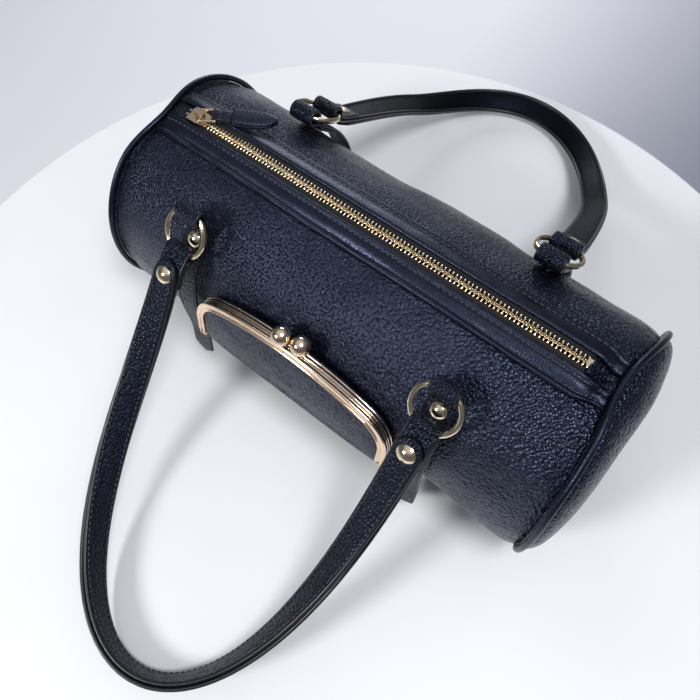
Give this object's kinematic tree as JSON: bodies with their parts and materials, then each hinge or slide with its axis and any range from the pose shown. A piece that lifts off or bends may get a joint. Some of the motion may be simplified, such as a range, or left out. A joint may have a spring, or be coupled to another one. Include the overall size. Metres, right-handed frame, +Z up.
{
  "type": "barrel bag",
  "caption": "Cylindrical leather hand bag with piped round ends, a top zip, strap handles on rings that flop onto the table, and a framed kiss-lock pocket on its front.",
  "frame": {"origin": "middle of the flat base under the barrel", "axes": "+X along the barrel to the bag's right, -Y towards the pocket side, +Z up"},
  "size_m": [0.2816, 0.4328, 0.1193],
  "materials": {
    "pebbled_leather": "pebbled grain, satin",
    "smooth_leather": "smooth with painted edges",
    "gold_metal": "polished gold plate",
    "rose_gold_metal": "polished rose gold plate",
    "lining_fabric": "plain weave",
    "tape_fabric": "twill tape"
  },
  "bodies": {
    "bag": {"body_panel": "pebbled_leather", "chape_front_left": "pebbled_leather", "chape_front_right": "pebbled_leather", "chape_rear_left": "pebbled_leather", "chape_rear_right": "pebbled_leather", "chape_rivet_front_left": "gold_metal", "chape_rivet_front_right": "gold_metal", "chape_rivet_rear_left": "gold_metal", "chape_rivet_rear_right": "gold_metal", "clasp_ball_right": "rose_gold_metal", "end_panel_left": "pebbled_leather", "end_panel_right": "pebbled_leather", "lining": "lining_fabric", "piping_left": "smooth_leather", "piping_right": "smooth_leather", "pocket_back": "pebbled_leather", "pocket_frame_rear": "rose_gold_metal", "pocket_hinge_left": "rose_gold_metal", "pocket_hinge_right": "rose_gold_metal", "pocket_pouch": "pebbled_leather", "zip_end_left": "smooth_leather", "zip_end_right": "smooth_leather", "zip_facing_front": "smooth_leather", "zip_facing_rear": "smooth_leather", "zip_stop_end": "gold_metal", "zip_stop_front": "gold_metal", "zip_stop_rear": "gold_metal", "zip_tape_front": "tape_fabric", "zip_tape_rear": "tape_fabric", "zip_teeth_front": "gold_metal", "zip_teeth_rear": "gold_metal"},
    "zip_slider": {"zip_slider": "gold_metal"},
    "zip_bail": {"zip_pull_bail": "gold_metal"},
    "zip_leaf": {"zip_pull_tab": "smooth_leather"},
    "pocket_flap": {"pocket_frame_front": "rose_gold_metal", "pocket_front": "pebbled_leather", "clasp_ball_left": "rose_gold_metal"},
    "handle_front": {"handle_front_base": "smooth_leather", "handle_front_face": "pebbled_leather", "handle_rivet_front_left": "gold_metal", "handle_rivet_front_right": "gold_metal"},
    "ring_front_left": {"handle_ring_front_left": "gold_metal"},
    "ring_front_right": {"handle_ring_front_right": "gold_metal"},
    "handle_rear": {"handle_rear_base": "smooth_leather", "handle_rear_face": "pebbled_leather", "handle_rivet_rear_left": "gold_metal", "handle_rivet_rear_right": "gold_metal"},
    "ring_rear_left": {"handle_ring_rear_left": "gold_metal"},
    "ring_rear_right": {"handle_ring_rear_right": "gold_metal"}
  },
  "joints": [
    {"name": "zip_slide", "type": "slide", "parent": "bag", "child": "zip_slider", "axis": [1, 0, 0], "range_m": [0, 0.2101], "deforming": ["zip_teeth_front", "zip_teeth_rear"]},
    {"name": "pull_bail_swing", "type": "hinge", "parent": "zip_slider", "child": "zip_bail", "pos_m": [-0.10653, 0, 0.11677], "axis": [0.5446, -0.8387, 0], "range_deg": [0, 110]},
    {"name": "pull_leaf_swing", "type": "hinge", "parent": "zip_bail", "child": "zip_leaf", "pos_m": [-0.09967, 0.00446, 0.1173], "axis": [0.5446, -0.8387, 0], "range_deg": [0, 60]},
    {"name": "pocket_open", "type": "hinge", "parent": "bag", "child": "pocket_flap", "pos_m": [0, -0.06804, 0.04989], "axis": [1, 0, 0], "range_deg": [0, 60]},
    {"name": "ring_front_left_swing", "type": "hinge", "parent": "bag", "child": "ring_front_left", "pos_m": [-0.0715, -0.04392, 0.11203], "axis": [-1, 0, 0], "range_deg": [0, 100]},
    {"name": "ring_front_right_swing", "type": "hinge", "parent": "bag", "child": "ring_front_right", "pos_m": [0.0715, -0.04392, 0.11203], "axis": [-1, 0, 0], "range_deg": [0, 100]},
    {"name": "handle_front_swing", "type": "hinge", "parent": "ring_front_left", "child": "handle_front", "pos_m": [0, -0.05597, 0.0966], "axis": [-1, 0, 0], "range_deg": [-15, 20]},
    {"name": "ring_rear_left_swing", "type": "hinge", "parent": "bag", "child": "ring_rear_left", "pos_m": [-0.0715, 0.03768, 0.10887], "axis": [1, 0, 0], "range_deg": [0, 100]},
    {"name": "ring_rear_right_swing", "type": "hinge", "parent": "bag", "child": "ring_rear_right", "pos_m": [0.0715, 0.03768, 0.10887], "axis": [1, 0, 0], "range_deg": [0, 100]},
    {"name": "handle_rear_swing", "type": "hinge", "parent": "ring_rear_left", "child": "handle_rear", "pos_m": [0, 0.05446, 0.09878], "axis": [1, 0, 0], "range_deg": [-5, 30]}
  ],
  "couplings": [
    {"joint": "ring_front_right_swing", "follows": "ring_front_left_swing", "ratio": 1},
    {"joint": "ring_rear_right_swing", "follows": "ring_rear_left_swing", "ratio": 1}
  ]
}
